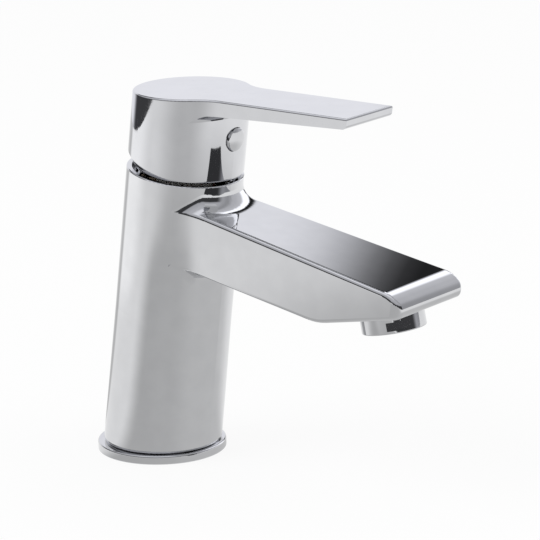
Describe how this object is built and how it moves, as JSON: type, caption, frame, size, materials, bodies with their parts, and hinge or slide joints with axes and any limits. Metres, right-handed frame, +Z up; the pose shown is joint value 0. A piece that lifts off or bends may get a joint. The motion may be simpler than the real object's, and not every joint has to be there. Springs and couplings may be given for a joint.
{
  "type": "single lever basin mixer faucet",
  "caption": "Single-lever basin mixer: leaning round chrome body, flat cast spout with screw-in aerator, level lever handle and a ceramic-disc cartridge inside.",
  "frame": {"origin": "centre of the base on the deck surface", "axes": "+X forward along the spout, +Z up, +Y to the left of the spout"},
  "size_m": [0.1601, 0.0518, 0.1496],
  "materials": {
    "chrome_body": "polished chrome plate",
    "chrome_handle": "polished chrome plate",
    "rubber": "matt rubber",
    "brass": "machined brass",
    "white_plastic": "satin moulded plastic",
    "grey_plastic": "satin moulded plastic",
    "red_plastic": "satin moulded plastic",
    "ceramic": "polished alumina ceramic",
    "steel": "turned stainless steel"
  },
  "bodies": {
    "column": {"body_casting": "chrome_body", "base_ring": "chrome_body", "base_seal": "rubber", "retaining_nut": "brass", "cartridge_housing": "white_plastic", "cartridge_base": "white_plastic", "port_seals": "rubber", "disc_seals": "rubber", "fixed_disc": "ceramic", "housing_seal": "rubber", "limit_ring": "red_plastic", "aerator_housing": "chrome_body", "aerator_gasket": "rubber", "aerator_insert": "grey_plastic", "flow_regulator": "white_plastic", "inlet_filter": "white_plastic"},
    "turret": {"rotor": "grey_plastic", "rotor_seal": "rubber", "pivot_pin": "steel"},
    "lever": {"stem": "brass", "handle": "chrome_handle", "set_screw": "steel", "index_plug": "chrome_handle"},
    "carrier": {"disc_carrier": "grey_plastic", "moving_disc": "ceramic"}
  },
  "joints": [
    {"name": "handle_turn", "type": "hinge", "parent": "column", "child": "turret", "pos_m": [0, 0, 0], "axis": [0.1385, 0, 0.9904], "range_deg": [-45, 45]},
    {"name": "handle_lift", "type": "hinge", "parent": "turret", "child": "lever", "pos_m": [0.018, 0, 0.12875], "axis": [0, -1, 0], "range_deg": [0, 22]},
    {"name": "disc_slide", "type": "slide", "parent": "turret", "child": "carrier", "axis": [0.9904, 0, -0.1385], "range_m": [0, 0.00765]}
  ],
  "couplings": [
    {"joint": "disc_slide", "follows": "handle_lift", "m_per_rad": 0.019877}
  ]
}
